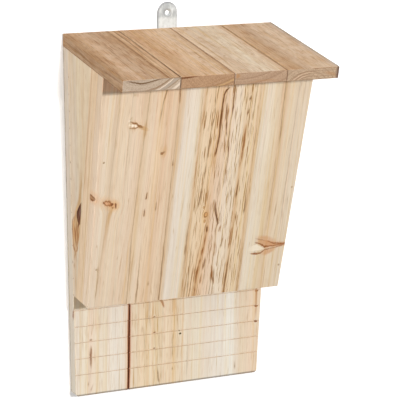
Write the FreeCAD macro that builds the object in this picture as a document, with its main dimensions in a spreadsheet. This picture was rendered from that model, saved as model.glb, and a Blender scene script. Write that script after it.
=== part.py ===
import FreeCAD, Part
import os
import re

import Sketcher
from FreeCAD import Placement, Rotation, Vector

# Bat box for a wall or a tree trunk: a tall back board whose foot is the landing board, two sides
# that narrow towards the foot, a front that leans out towards the top, and a sloping plank roof.
# The bats fly to the landing board and climb through the slot behind the front's lower edge.
#
# Millimetres. The box is drawn standing on its foot: X runs across it from its middle line, Y runs
# to the wall from the front face of the back board, Z runs up from the foot. Each finished piece is
# then shifted so that the origin is the hanging hole's centre, on the wall.

doc = FreeCAD.newDocument("BatBox")
sheet = doc.addObject("Spreadsheet::Sheet", "Sizes")

sizes = {
    # back board
    "back_height": 370,       # foot to top edge, along the wall
    "top_width": 240,         # width at the height of that top edge, and the roof's width
    "foot_width": 215,        # width at the foot
    "back_thick": 13,
    "back_joint": -47,        # joint between its two planks, from the middle line
    "joint_gap": 1.2,         # open joint between them
    "foot_round": 4,          # rounded lower corners
    # saw cuts across the back board, which the bats hold on to
    "groove_first": 23.5,     # height of the lowest cut
    "groove_pitch": 17.6,
    "groove_count": 19,
    "groove_wide": 1,
    "groove_deep": 1,
    # sides
    "side_thick": 13,
    "side_foot": 110,         # height of their lower edge at the back board
    "side_strip": 16,         # width of the strip glued on along the front edge
    # front
    "front_thick": 13,
    "front_foot": 106,        # height of its lower outer edge
    "front_depth": 35,        # from that edge to the back board's face
    "front_lean": 11.3,       # degrees from upright
    "front_joint_left": -70,  # glue joints between its staves, from the middle line
    "front_joint_middle": -27,
    "front_joint_right": 63,
    # roof
    "roof_thick": 12.5,
    "roof_slope": 9.6,        # degrees, down to the front
    "roof_eave": 128.5,       # from the back board's face to the lower front edge
    "roof_count": 4,          # planks
    "roof_first": 62.4,       # width of the leftmost plank, the others share the rest
    "roof_gap": 0.5,          # between planks
    # hanger plate
    "hanger_wide": 22,
    "hanger_thick": 2,
    "hanger_reach": 62,       # from the hanging hole to the lower end's centre
    "hanger_shift": -2.4,     # of its centre line, from the middle line
    "hang_rise": 28.4,        # of the hanging hole, above the back board's top edge
    "hang_hole": 5,
    "hang_sink": 8,           # width of the countersink round the hanging hole
    "hang_sink_deep": 0.8,
    # screws in the hanger plate
    "screw_pitch": 20,
    "screw_shank": 3.5,
    "screw_long": 11,
    "screw_head": 7,
    "screw_head_deep": 2.2,
    # wire nails
    "nail_shank": 1.4,
    "nail_long": 30,
    "nail_head": 2.4,
    "nail_head_deep": 0.6,
    "left_inset": 6.9,        # front nails, from the edge of the front
    "right_inset": 3.4,
    "left_nail_low": 148.6,   # and their heights
    "left_nail_high": 264.6,
    "right_nail_low": 131.2,
    "right_nail_high": 219.4,
    "back_nail_first": 170,   # lowest nail from the back into each side
    "back_nail_pitch": 70,
    "back_nail_count": 3,
    "roof_nail_inset": 14,    # roof nails, from each plank's edges
    "roof_nail_forward": 40,  # nails into the sides' top edges, from the back board's face
}
for row, (name, size) in enumerate(sizes.items(), start=1):
    sheet.set(f"A{row}", name)
    sheet.set(f"B{row}", str(size))
    sheet.setAlias(f"B{row}", name)
doc.recompute()


# Formulas: plain text in which a size's name stands for its cell

def formula(text):
    return re.sub(r"[a-z_]+", lambda word: "Sizes." + word[0] if word[0] in sizes else word[0], str(text))


def value(text):
    return float(sheet.evalExpression(formula(text)))


def bind(item, **properties):
    for path, text in properties.items():
        item.setExpression(path.replace("__", "."), formula(text))


# Places that several pieces share, as formulas

def half_width(height):
    return f"(foot_width / 2 + (top_width - foot_width) / 2 * ({height}) / back_height)"


def roof_under(depth):
    return f"(back_height + (({depth}) - back_thick) * tan(roof_slope))"


def front_foot_at(inside):
    # point of the sloping lower edge, this far behind the front's outer face
    fall = "((side_foot - front_foot) / front_depth)"
    across = f"(({inside}) / cos(front_lean) / (1 + {fall} * tan(front_lean)))"
    return f"({across} - front_depth)", f"(front_foot + {fall} * {across})"


def front_top_at(inside):
    # point under the roof, this far behind the front's outer face
    back = f"(({inside}) / cos(front_lean) - front_depth)"
    rise = (f"((back_height - front_foot + ({back} - back_thick) * tan(roof_slope))"
            " / (1 + tan(front_lean) * tan(roof_slope)))")
    return f"({back} - {rise} * tan(front_lean))", f"(front_foot + {rise})"


def roof_plank_edges(number):
    rest = "((top_width - roof_first) / (roof_count - 1))"
    left = "(-top_width / 2)" if number == 0 else f"(roof_first - top_width / 2 + {number - 1} * {rest})"
    right = f"(roof_first - top_width / 2 + {number} * {rest})"
    return left, right


# Boards: an outline seen from the side, padded across the box, then trimmed to an outline seen from
# the front

def plane_of(body, role):
    return [item for item in body.Origin.OriginFeatures if item.Role == role][0]


def outline(sketch, points):
    first = sketch.GeometryCount
    places = [Vector(value(across), value(up), 0) for across, up in points]
    count = len(points)
    for number in range(count):
        sketch.addGeometry(Part.LineSegment(places[number], places[(number + 1) % count]))
    for number in range(count):
        following = first + (number + 1) % count
        sketch.addConstraint(Sketcher.Constraint("Coincident", first + number, 2, following, 1))
    for number, (across, up) in enumerate(points):
        pin(sketch, "DistanceX", first + number, places[number].x, across)
        pin(sketch, "DistanceY", first + number, places[number].y, up)


def pin(sketch, kind, line, place, text):
    # ties one coordinate of a line's start to a formula
    index = sketch.addConstraint(Sketcher.Constraint(kind, -1, 1, line, 1, place))
    sketch.setExpression(f"Constraints[{index}]", formula(text))


def new_sketch(body, name, role):
    sketch = body.newObject("Sketcher::SketchObject", name)
    sketch.AttachmentSupport = (plane_of(body, role), [""])
    sketch.MapMode = "FlatFace"
    doc.recompute()
    return sketch


def board(label, side_view, front_view):
    body = doc.addObject("PartDesign::Body", f"{label}_blank")
    side_sketch = new_sketch(body, f"{label}_side_view", "YZ_Plane")
    outline(side_sketch, side_view)
    pad = body.newObject("PartDesign::Pad", f"{label}_pad")
    pad.Profile = side_sketch
    pad.SideType = "Symmetric"
    bind(pad, Length="4 * top_width")
    doc.recompute()
    front_sketch = new_sketch(body, f"{label}_front_view", "XZ_Plane")
    right, top = "(2 * top_width)", "(2 * back_height)"
    left, bottom = f"-{right}", f"-{top}"
    outline(front_sketch, [(left, bottom), (right, bottom), (right, top), (left, top)])
    outline(front_sketch, front_view)
    trim = body.newObject("PartDesign::Pocket", f"{label}_trim")
    trim.Profile = front_sketch
    trim.SideType = "Symmetric"
    trim.Type = "ThroughAll"
    doc.recompute()
    return body


def tapered(left, right):
    # front outline between two edges, each given as a formula of the height, from well below the foot
    # to well above the roof
    low, high = "(-back_height / 2)", "(back_height * 3 / 2)"
    return [(left(low), low), (right(low), low), (right(high), high), (left(high), high)]


def left_edge(height):
    return f"(-{half_width(height)})"


def right_edge(height):
    return half_width(height)


def upright(place):
    return lambda height: f"({place})"


def slanted_thick():
    # a side's thickness measured level, across its slant
    return "(side_thick / cos(atan((top_width - foot_width) / 2 / back_height)))"


# Wire nails and screws: along their own Z from the head, which is flush with the surface

def nail(name, point, angle):
    shank = doc.addObject("Part::Cylinder", f"{name}_shank")
    bind(shank, Radius="nail_shank / 2", Height="nail_long")
    head = doc.addObject("Part::Cylinder", f"{name}_head")
    bind(head, Radius="nail_head / 2", Height="nail_head_deep")
    return fastener(name, shank, head, point, angle)


def screw(name, point, angle):
    shank = doc.addObject("Part::Cylinder", f"{name}_shank")
    bind(shank, Radius="screw_shank / 2", Height="screw_long")
    head = doc.addObject("Part::Cone", f"{name}_head")
    bind(head, Radius1="screw_head / 2", Radius2="screw_shank / 2", Height="screw_head_deep")
    return fastener(name, shank, head, point, angle)


def fastener(name, shank, head, point, angle):
    whole = doc.addObject("Part::Fuse", name)
    whole.Base = shank
    whole.Tool = head
    whole.Placement = Placement(Vector(), Rotation(Vector(1, 0, 0), value(angle)))
    bind(whole, Placement__Base__x=point[0], Placement__Base__y=point[1], Placement__Base__z=point[2],
         Placement__Rotation__Angle=angle)
    return whole


def group(name, members):
    bundle = doc.addObject("Part::Compound", name)
    bundle.Links = members
    return bundle


def front_nails():
    # through the front into the sides' front edges, square to its face
    places = [("left", "low"), ("left", "high"), ("right", "low"), ("right", "high")]
    nails = []
    for side, level in places:
        height = f"{side}_nail_{level}"
        inward = f"({half_width(height)} - {side}_inset)"
        across = f"-{inward}" if side == "left" else inward
        depth = f"(-front_depth - ({height} - front_foot) * tan(front_lean))"
        nails.append(nail(f"front_nail_{side}_{level}", (across, depth, height), "front_lean - 90"))
    return group("front_nails_fitted", nails)


def back_nails():
    # through the back board into the sides' back edges
    nails = []
    for number in range(int(value("back_nail_count"))):
        height = f"(back_nail_first + {number} * back_nail_pitch)"
        inward = f"({half_width(height)} - side_thick / 2)"
        nails.append(nail(f"back_nail_left_{number}", (f"-{inward}", "back_thick", height), "90"))
        nails.append(nail(f"back_nail_right_{number}", (inward, "back_thick", height), "90"))
    return group("back_nails_fitted", nails)


def roof_nail(name, across, depth, height):
    # square to the roof, down into the point given on its underside
    head_depth = f"({depth} - roof_thick * sin(roof_slope))"
    head_height = f"({height} + roof_thick * cos(roof_slope))"
    return nail(name, (across, head_depth, head_height), "180 + roof_slope")


def roof_nails():
    nails = []
    front_depth, front_height = front_top_at("front_thick / 2")
    middle_of_back = "(back_thick / 2)"
    for number in range(int(value("roof_count"))):
        left, right = roof_plank_edges(number)
        rows = {"left": f"({left} + roof_nail_inset)", "right": f"({right} - roof_nail_inset)"}
        for side, across in rows.items():
            nails.append(roof_nail(f"roof_nail_front_{side}_{number}", across, front_depth, front_height))
            nails.append(roof_nail(f"roof_nail_back_{side}_{number}", across, middle_of_back,
                                   roof_under(middle_of_back)))
    depth = "(-roof_nail_forward)"
    inward = f"({half_width(roof_under(depth))} - side_thick / 2)"
    nails.append(roof_nail("roof_nail_side_left", f"-{inward}", depth, roof_under(depth)))
    nails.append(roof_nail("roof_nail_side_right", inward, depth, roof_under(depth)))
    return group("roof_nails_fitted", nails)


# Hanger plate: a flat strip with round ends, on the back of the back board

def hang_height():
    return "(back_height + hang_rise)"


def hanger_end():
    return f"({hang_height()} - hanger_reach)"


def hanger_screws():
    heights = {"lower": hanger_end(), "upper": f"({hanger_end()} + screw_pitch)"}
    screws = []
    for level, height in heights.items():
        point = ("hanger_shift", "back_thick + hanger_thick", height)
        screws.append(screw(f"hanger_screw_{level}", point, "90"))
    return group("hanger_screws_fitted", screws)


def drum(name, width, start, height, long):
    # a round bar along Y from start, towards the wall
    bar = doc.addObject("Part::Cylinder", name)
    bar.Placement = Placement(Vector(), Rotation(Vector(1, 0, 0), -90))
    bind(bar, Radius=f"{width} / 2", Height=long, Placement__Base__x="hanger_shift",
         Placement__Base__y=start, Placement__Base__z=height)
    return bar


def hanger_plate(screws):
    strip = doc.addObject("Part::Box", "hanger_strip")
    bind(strip, Length="hanger_wide", Width="hanger_thick", Height="hanger_reach",
         Placement__Base__x="hanger_shift - hanger_wide / 2", Placement__Base__y="back_thick",
         Placement__Base__z=hanger_end())
    top = drum("hanger_top", "hanger_wide", "back_thick", hang_height(), "hanger_thick")
    end = drum("hanger_foot", "hanger_wide", "back_thick", hanger_end(), "hanger_thick")
    plate = doc.addObject("Part::MultiFuse", "hanger_blank")
    plate.Shapes = [strip, top, end]
    plate.Refine = True
    hole = drum("hanging_hole", "hang_hole", "back_thick", hang_height(), "hanger_thick")
    sink = doc.addObject("Part::Cone", "hanging_sink")
    sink.Placement = Placement(Vector(), Rotation(Vector(1, 0, 0), -90))
    bind(sink, Radius1="hang_sink / 2", Radius2="hang_hole / 2", Height="hang_sink_deep",
         Placement__Base__x="hanger_shift", Placement__Base__y="back_thick",
         Placement__Base__z=hang_height())
    holes = group("hanger_holes", [hole, sink])
    drilled = doc.addObject("Part::Cut", "hanger_drilled")
    drilled.Base = plate
    drilled.Tool = holes
    return fitted("hanger_plate", drilled, screws)


def fitted(label, blank, fasteners):
    # the piece with the holes that its nails and screws fill
    piece = doc.addObject("Part::Cut", label)
    piece.Base = blank
    piece.Tool = fasteners
    return piece


# Back board: two planks with an open joint, rounded lower corners and the saw cuts

def round_foot(body, side):
    corner = Vector(side * value("foot_width") / 2, 0, 0)
    base = body.Tip
    edges = []
    for number, edge in enumerate(base.Shape.Edges, start=1):
        ends = [vertex.Point for vertex in edge.Vertexes]
        if all(abs(end.x - corner.x) < 0.01 and abs(end.z - corner.z) < 0.01 for end in ends):
            edges.append(f"Edge{number}")
    fillet = body.newObject("PartDesign::Fillet", f"{body.Name}_foot_round")
    fillet.Base = (base, edges)
    bind(fillet, Radius="foot_round")
    doc.recompute()


def cut_grooves(body):
    sketch = new_sketch(body, f"{body.Name}_groove", "YZ_Plane")
    low, high = "(groove_first - groove_wide / 2)", "(groove_first + groove_wide / 2)"
    outer, inner = "(-groove_deep)", "groove_deep"
    outline(sketch, [(outer, low), (inner, low), (inner, high), (outer, high)])
    cut = body.newObject("PartDesign::Pocket", f"{body.Name}_groove_cut")
    cut.Profile = sketch
    cut.SideType = "Symmetric"
    cut.Type = "ThroughAll"
    doc.recompute()
    pattern = body.newObject("PartDesign::LinearPattern", f"{body.Name}_grooves")
    pattern.Originals = [cut]
    pattern.Direction = (plane_of(body, "Z_Axis"), [""])
    bind(pattern, Length="groove_pitch * (groove_count - 1)", Occurrences="groove_count")
    body.Tip = pattern
    doc.recompute()


def back_planks(fasteners):
    side_view = [("0", "0"), ("back_thick", "0"), ("back_thick", "back_height"), ("0", roof_under("0"))]
    narrow = board("back_plank_narrow", side_view, tapered(left_edge, upright("back_joint - joint_gap / 2")))
    wide = board("back_plank_wide", side_view, tapered(upright("back_joint + joint_gap / 2"), right_edge))
    round_foot(narrow, -1)
    round_foot(wide, 1)
    cut_grooves(narrow)
    cut_grooves(wide)
    return [fitted("back_plank_narrow", narrow, fasteners), fitted("back_plank_wide", wide, fasteners)]


# Sides: a wedge-shaped board at the back and a strip glued along its front edge

def sides(fasteners):
    glue = "(front_thick + side_strip)"
    board_view = [("0", "side_foot"), front_foot_at(glue), front_top_at(glue), ("0", roof_under("0"))]
    strip_view = [front_foot_at(glue), front_foot_at("front_thick"),
                  front_top_at("front_thick"), front_top_at(glue)]
    hands = {
        "left": tapered(left_edge, lambda height: f"({left_edge(height)} + {slanted_thick()})"),
        "right": tapered(lambda height: f"({right_edge(height)} - {slanted_thick()})", right_edge),
    }
    pieces = []
    for hand, front_view in hands.items():
        for part, side_view in (("board", board_view), ("strip", strip_view)):
            label = f"side_{hand}_{part}"
            pieces.append(fitted(label, board(label, side_view, front_view), fasteners))
    return pieces


# Front: four staves glued edge to edge

def front_staves(fasteners):
    side_view = [front_foot_at("0"), front_foot_at("front_thick"),
                 front_top_at("front_thick"), front_top_at("0")]
    joints = [upright("front_joint_left"), upright("front_joint_middle"), upright("front_joint_right")]
    edges = [left_edge] + joints + [right_edge]
    pieces = []
    for number, (left, right) in enumerate(zip(edges, edges[1:]), start=1):
        label = f"front_stave_{number}"
        pieces.append(fitted(label, board(label, side_view, tapered(left, right)), fasteners))
    return pieces


# Roof: four planks side by side, square at the eave and cut plumb at the wall

def roof_planks(fasteners):
    eave = "(-roof_eave)"
    side_view = [(eave, roof_under(eave)), ("back_thick", "back_height"),
                 ("back_thick", "(back_height + roof_thick / cos(roof_slope))"),
                 (f"({eave} - roof_thick * sin(roof_slope))",
                  f"({roof_under(eave)} + roof_thick * cos(roof_slope))")]
    pieces = []
    count = int(value("roof_count"))
    for number in range(count):
        left, right = roof_plank_edges(number)
        left = left if number == 0 else f"({left} + roof_gap / 2)"
        right = right if number == count - 1 else f"({right} - roof_gap / 2)"
        label = f"roof_plank_{number + 1}"
        blank = board(label, side_view, tapered(upright(left), upright(right)))
        pieces.append(fitted(label, blank, fasteners))
    return pieces


def finished(label, fitted_group):
    # a group of fasteners as a piece of its own
    piece = doc.addObject("Part::Compound", label)
    piece.Links = [fitted_group]
    return piece


nail_groups = {"front_nails": front_nails(), "back_nails": back_nails(), "roof_nails": roof_nails()}
screw_group = hanger_screws()
every_fastener = group("every_fastener", [*nail_groups.values(), screw_group])

pieces = back_planks(every_fastener)
pieces += sides(every_fastener)
pieces += front_staves(every_fastener)
pieces += roof_planks(every_fastener)
pieces += [hanger_plate(screw_group)]
pieces += [finished(label, fitted_group) for label, fitted_group in nail_groups.items()]
pieces += [finished("hanger_screws", screw_group)]

# Shift every finished piece, so that the origin is the hanging hole's centre on the wall
for piece in pieces:
    bind(piece, Placement__Base__x="-hanger_shift", Placement__Base__y="-(back_thick + hanger_thick)",
         Placement__Base__z=f"-{hang_height()}")
doc.recompute()

for item in doc.Objects:
    if {"Invalid", "Error"} & set(item.State):
        raise SystemExit(f"{item.Label} has failed: {item.State}")
for piece in pieces:
    if piece.Shape.isNull() or not piece.Shape.isValid():
        raise SystemExit(f"{piece.Label} has no valid shape")

os.makedirs("parts", exist_ok=True)
for piece in pieces:
    piece.Shape.exportStep(f"parts/{piece.Label}.step")
    box = piece.Shape.BoundBox
    print(f"{piece.Label}: {len(piece.Shape.Solids)} solid(s), {piece.Shape.Volume / 1000:.2f} cm3, "
          f"X {box.XMin:.1f} to {box.XMax:.1f}, Y {box.YMin:.1f} to {box.YMax:.1f}, "
          f"Z {box.ZMin:.1f} to {box.ZMax:.1f}")
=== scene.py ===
import math

import bmesh
import bpy
from mathutils import Matrix, Vector
from mathutils.kdtree import KDTree


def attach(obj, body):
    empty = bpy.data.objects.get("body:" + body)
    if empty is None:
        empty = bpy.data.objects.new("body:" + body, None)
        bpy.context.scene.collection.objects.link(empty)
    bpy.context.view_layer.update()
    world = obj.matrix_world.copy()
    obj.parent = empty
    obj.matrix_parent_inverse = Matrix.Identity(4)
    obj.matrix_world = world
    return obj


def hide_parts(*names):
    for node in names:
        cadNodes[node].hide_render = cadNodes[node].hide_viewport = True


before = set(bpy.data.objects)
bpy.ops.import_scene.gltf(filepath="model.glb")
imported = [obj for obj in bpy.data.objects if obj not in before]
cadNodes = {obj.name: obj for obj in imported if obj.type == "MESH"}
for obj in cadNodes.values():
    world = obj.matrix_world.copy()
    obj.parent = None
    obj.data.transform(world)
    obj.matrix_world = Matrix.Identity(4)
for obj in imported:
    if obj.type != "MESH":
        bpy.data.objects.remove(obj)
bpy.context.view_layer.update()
scene = bpy.context.scene
print("bat box: the packed boards are in")


# camera and lamps

cameraPlace = {
    "aimAt": (0.00986, -0.065, -0.185656),
    "away": 2.18966,       # metres from the aim point
    "toTheLeft": 27.504,   # degrees
    "above": 13.271,
    "tilt": 1.308,         # the picture leans a little
    "lens": 191.745,
    "sensor": 36,
}

lampsAimAt = (0, -0.05, -0.19)
lampPlaces = {
    # name: degrees to the right, degrees up, metres away, width, watts
    "keyLamp": (-1, 15, 2.6, 0.20, 45),
    "leftLamp": (-89, 8, 2.6, 0.9, 31),
    "rightLamp": (100, 8, 2.6, 0.9, 31),
    "topLamp": (-10, 76, 2.2, 1.0, 9),
    "backLamp": (180, 15, 2.6, 0.9, 30),
}


def direction(turn, lift):
    turn, lift = math.radians(turn), math.radians(lift)
    return Vector((math.sin(turn) * math.cos(lift), -math.cos(turn) * math.cos(lift), math.sin(lift)))


def setCamera(place):
    away = direction(-place["toTheLeft"], place["above"])
    flatRight = Vector((0, 0, 1)).cross(away).normalized()
    flatUp = away.cross(flatRight)
    tilt = math.radians(place["tilt"])
    right = math.cos(tilt) * flatRight + math.sin(tilt) * flatUp
    up = math.cos(tilt) * flatUp - math.sin(tilt) * flatRight
    camera = bpy.data.objects.new("camera", bpy.data.cameras.new("camera"))
    camera.data.sensor_width = place["sensor"]
    camera.data.lens = place["lens"]
    turned = Matrix((right, up, away)).transposed().to_4x4()
    turned.translation = Vector(place["aimAt"]) + away * place["away"]
    camera.matrix_world = turned
    scene.collection.objects.link(camera)
    scene.camera = camera


def hangLamps(places, aimAt):
    for name, (turn, lift, away, width, watts) in places.items():
        light = bpy.data.lights.new(name, "AREA")
        light.shape = "DISK"
        light.size = width
        light.energy = watts
        lamp = bpy.data.objects.new(name, light)
        lamp.location = Vector(aimAt) + direction(turn, lift) * away
        lamp.rotation_euler = direction(turn, lift).to_track_quat("Z", "Y").to_euler()
        scene.collection.objects.link(lamp)


setCamera(cameraPlace)
hangLamps(lampPlaces, lampsAimAt)
scene.view_settings.view_transform = "Standard"
print("camera and lamps are set")


# finishes: a wire is one socket, and sums on wires add Math nodes

class Wire:
    def __init__(self, finish, socket):
        self.finish = finish
        self.socket = socket

    def __add__(self, other):
        return self.finish.sum("ADD", self, other)

    def __radd__(self, other):
        return self.finish.sum("ADD", other, self)

    def __sub__(self, other):
        return self.finish.sum("SUBTRACT", self, other)

    def __rsub__(self, other):
        return self.finish.sum("SUBTRACT", other, self)

    def __mul__(self, other):
        return self.finish.sum("MULTIPLY", self, other)

    def __rmul__(self, other):
        return self.finish.sum("MULTIPLY", other, self)

    def __truediv__(self, other):
        return self.finish.sum("DIVIDE", self, other)

    def __rtruediv__(self, other):
        return self.finish.sum("DIVIDE", other, self)

    def __pow__(self, other):
        return self.finish.sum("POWER", self, other)

    def __abs__(self):
        return self.finish.sum("ABSOLUTE", self)


class Finish:
    def __init__(self, owner):
        owner.use_nodes = True
        self.owner = owner
        self.tree = owner.node_tree
        self.tree.nodes.clear()

    def add(self, kind, settings=None, inputs=None, output=0):
        node = self.tree.nodes.new("ShaderNode" + kind)
        for name, value in (settings or {}).items():
            if name == "stops":
                self.setStops(node.color_ramp, value)
            elif name == "interpolation":
                node.color_ramp.interpolation = value
            else:
                setattr(node, name, value)
        for name, value in (inputs or {}).items():
            if isinstance(value, Wire):
                self.tree.links.new(value.socket, node.inputs[name])
            else:
                node.inputs[name].default_value = value
        return Wire(self, node.outputs[output]) if len(node.outputs) else node

    def setStops(self, ramp, stops):
        while len(ramp.elements) > 1:
            ramp.elements.remove(ramp.elements[-1])
        ramp.elements[0].position, ramp.elements[0].color = stops[0]
        for position, colour in stops[1:]:
            ramp.elements.new(position).color = colour

    def sum(self, operation, *values):
        return self.add("Math", {"operation": operation}, dict(enumerate(values)))

    def step(self, value, low, high):
        # 0 at low and 1 at high, eased between
        limits = {"Value": value, "From Min": low, "From Max": high}
        return self.add("MapRange", {"interpolation_type": "SMOOTHSTEP"}, limits)

    def most(self, wires):
        top = wires[0]
        for wire in wires[1:]:
            top = self.sum("MAXIMUM", top, wire)
        return top

    def join(self, x, y, z):
        return self.add("CombineXYZ", {}, {0: x, 1: y, 2: z})

    def split(self, vector):
        node = self.add("SeparateXYZ", {}, {0: vector}).socket.node
        return [Wire(self, socket) for socket in node.outputs]

    def place(self):
        # where a point lies on the whole box, in metres
        return self.split(self.add("TexCoord", {}, {}, "Object"))

    def facing(self):
        return self.split(self.add("TexCoord", {}, {}, "Normal"))

    def noise(self, x, y, z, detail, rough=0.5):
        places = {"Vector": self.join(x, y, z), "Scale": 1, "Detail": detail, "Roughness": rough}
        return self.add("TexNoise", {"noise_dimensions": "3D"}, places)

    def mix(self, amount, first, second):
        return self.add("Mix", {"data_type": "RGBA"}, {0: amount, 6: first, 7: second}, 2)

    def tint(self, amount, first, second):
        kinds = {"data_type": "RGBA", "blend_type": "MULTIPLY"}
        return self.add("Mix", kinds, {0: amount, 6: first, 7: second}, 2)

    def brighten(self, colour, amount):
        return self.add("VectorMath", {"operation": "SCALE"}, {0: colour, "Scale": amount})

    def bands(self, value, stops, interpolation="EASE"):
        # stops are (place, colour) along value
        low, high = stops[0][0], stops[-1][0]
        placed = [((at - low) / (high - low), colour) for at, colour in stops]
        settings = {"stops": placed, "interpolation": interpolation}
        return self.add("ValToRGB", settings, {"Fac": (value - low) / (high - low)})

    def cover(self, colour, roughness, height, bump, constants):
        # bump is (strength, metres); constants stand on the shader's own sockets
        push = {"Strength": bump[0], "Distance": bump[1], "Height": height}
        inputs = {"Base Color": colour, "Roughness": roughness, "Normal": self.add("Bump", {}, push)}
        self.add("OutputMaterial", {}, {"Surface": self.add("BsdfPrincipled", {}, {**inputs, **constants})})
        return self.owner


def newFinish(name):
    return Finish(bpy.data.materials.new(name))


def ink(red, green, blue):
    # a colour as a paint chart gives it, 0 to 255
    parts = [value / 255 for value in (red, green, blue)]
    return tuple(p / 12.92 if p <= 0.04045 else ((p + 0.055) / 1.055) ** 2.4 for p in parts) + (1,)


def inked(stops):
    # stops are (place, red, green, blue)
    return [(at, ink(*tone)) for at, *tone in stops]


# paper wall and floor: white to the camera, keeping the box's shadow, and open from behind

paperPlace = {
    "reach": 3.0,
    "squares": 8,
    "wallAt": 0.0004,      # just behind the hanger plate
    "floorAt": -0.75,
    "whiteFrom": (0.55, 1.0),  # metres from the hanging hole
    "ownWhite": 0.24,
    "colour": (0.93, 0.93, 0.93),
    "tooth": 0.02,
    "skyLight": 0.36,
    "skyColour": (1.0, 0.98, 0.955, 1),
}


def paperFinish(look):
    finish = newFinish("whitePaper")
    seen = finish.add("LightPath", {}, {}, "Is Camera Ray")
    behind = finish.add("NewGeometry", {}, {}, "Backfacing")
    x, y, z = finish.place()
    tooth = finish.noise(x, y, z, 3) * look["tooth"] + (1 - look["tooth"] / 2)
    sheet = finish.add("BsdfDiffuse", {}, {"Color": finish.brighten(look["colour"], tooth)})
    glow = finish.add("Emission", {}, {"Strength": look["ownWhite"]})
    near = finish.add("AddShader", {}, {0: sheet, 1: glow})
    far = finish.step((x * x + y * y + z * z) ** 0.5, *look["whiteFrom"])
    lit = finish.add("MixShader", {}, {0: far, 1: near, 2: finish.add("Emission", {}, {"Strength": 1})})
    clear = finish.add("BsdfTransparent")
    surface = finish.add("MixShader", {}, {0: seen * (1 - behind), 1: clear, 2: lit})
    finish.add("OutputMaterial", {}, {"Surface": surface})
    return finish.owner


def linked(mesh, name, material):
    data = bpy.data.meshes.new(name)
    mesh.to_mesh(data)
    mesh.free()
    data.materials.append(material)
    piece = bpy.data.objects.new(name, data)
    scene.collection.objects.link(piece)
    return piece


def setPaper(place):
    material = paperFinish(place)
    reach, squares = place["reach"], place["squares"]
    sheets = {
        "wallPaper": (90, (0, place["wallAt"], place["floorAt"] + reach)),
        "floorPaper": (0, (0, place["wallAt"] - reach, place["floorAt"])),
    }
    for name, (turn, shift) in sheets.items():
        mesh = bmesh.new()
        bmesh.ops.create_grid(mesh, x_segments=squares, y_segments=squares, size=reach)
        bmesh.ops.rotate(mesh, verts=mesh.verts, matrix=Matrix.Rotation(math.radians(turn), 3, "X"))
        bmesh.ops.translate(mesh, verts=mesh.verts, vec=shift)
        linked(mesh, name, material)


def setSky(place):
    scene.world = bpy.data.worlds.new("studio")
    finish = Finish(scene.world)
    rays = ("Is Camera Ray", "Is Glossy Ray", "Is Transmission Ray")
    shown = finish.most([finish.add("LightPath", {}, {}, ray) for ray in rays])
    light = finish.add("Background", {}, {
        "Color": finish.mix(shown, place["skyColour"], (1, 1, 1, 1)),
        "Strength": shown * (1 - place["skyLight"]) + place["skyLight"],
    })
    finish.add("OutputWorld", {}, {"Surface": light})


setPaper(paperPlace)
setSky(paperPlace)
print("paper and sky are set")


# pine: one timber for every board, in millimetres from the foot of the back board

boardPlace = {
    "shift": (-2.4, 15.0, 398.4),  # from the hanging hole to the middle of the foot
    "frontDepth": 35,
    "frontFoot": 106,
    "frontLean": 11.3,
    "roofSlope": 9.6,
    "roofLift": 375.15,
    "footHalf": 107.5,
    "spread": 0.03378,     # how fast the sides part, per millimetre of height
}

grainCells = {
    # name: fineness across and along the grain, share of the seed across and in depth, detail, roughness
    "sway": (0.02, 0.006, 1, 0, 1, 0.5),
    "figure": (0.13, 0.0045, 1, 0, 1, 0.5),
    "fade": (0.30, 0.02, 0, 1, 2, 0.5),
    "threads": (0.55, 0.005, 1, 0, 3, 0.7),
    "warm": (0.30, 0.004, 0, 1, 2, 0.5),
    "fleck": (0.75, 0.05, 0, 1, 1, 0.5),
    "dash": (0.95, 0.035, 0, -1, 2, 0.6),
    "blotch": (0.08, 0.055, 0, 1, 3, 0.6),
    "fibre": (1.3, 0.022, 1, 0, 3, 0.6),
    "cloud": (0.06, 0.006, 0, 1, 2, 0.5),
    "mottle": (0.30, 0.12, 1, 0, 3, 0.65),
}

markLimits = {
    # where the noise starts to show as a mark, and where it shows in full
    "fade": (0.42, 0.62), "gold": (0.52, 0.66), "rose": (0.46, 0.34), "cloud": (0.35, 0.75),
    "blotch": (0.42, 0.64), "fleck": (0.70, 0.78), "years": (0.25, 0.7), "hair": (0.10, 0),
    "late": (1, 0.88),
}

markTones = {
    # painted in this order, each as strongly as the board says
    "cloud": (0.90, 0.84, 0.76, 1), "blotch": (0.90, 0.83, 0.75, 1), "gold": (0.97, 0.90, 0.74, 1),
    "rose": (1.0, 0.93, 0.90, 1), "late": (0.76, 0.62, 0.44, 1), "hair": (0.70, 0.56, 0.38, 1),
    "fleck": (0.66, 0.50, 0.32, 1),
}

# tints, some of them painted light and shade: eaves is a warm painted bounce light in the roof's shadow,
# foot a painted shade line along the bottom edge, inside painted light in the box's shadow, sill a painted
# shade line along the roof ends' lower edge; endRing and halo are the wood's own colour
paintedLightAndWoodTints = {
    "eaves": (1.22, 1.04, 0.93, 1), "foot": (0.42, 0.41, 0.41, 1), "inside": (1.24, 1.20, 1.08, 1),
    "sill": (0.72, 0.68, 0.64, 1), "endRing": (0.50, 0.38, 0.27, 1), "halo": (0.92, 0.76, 0.54, 1),
}

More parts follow.
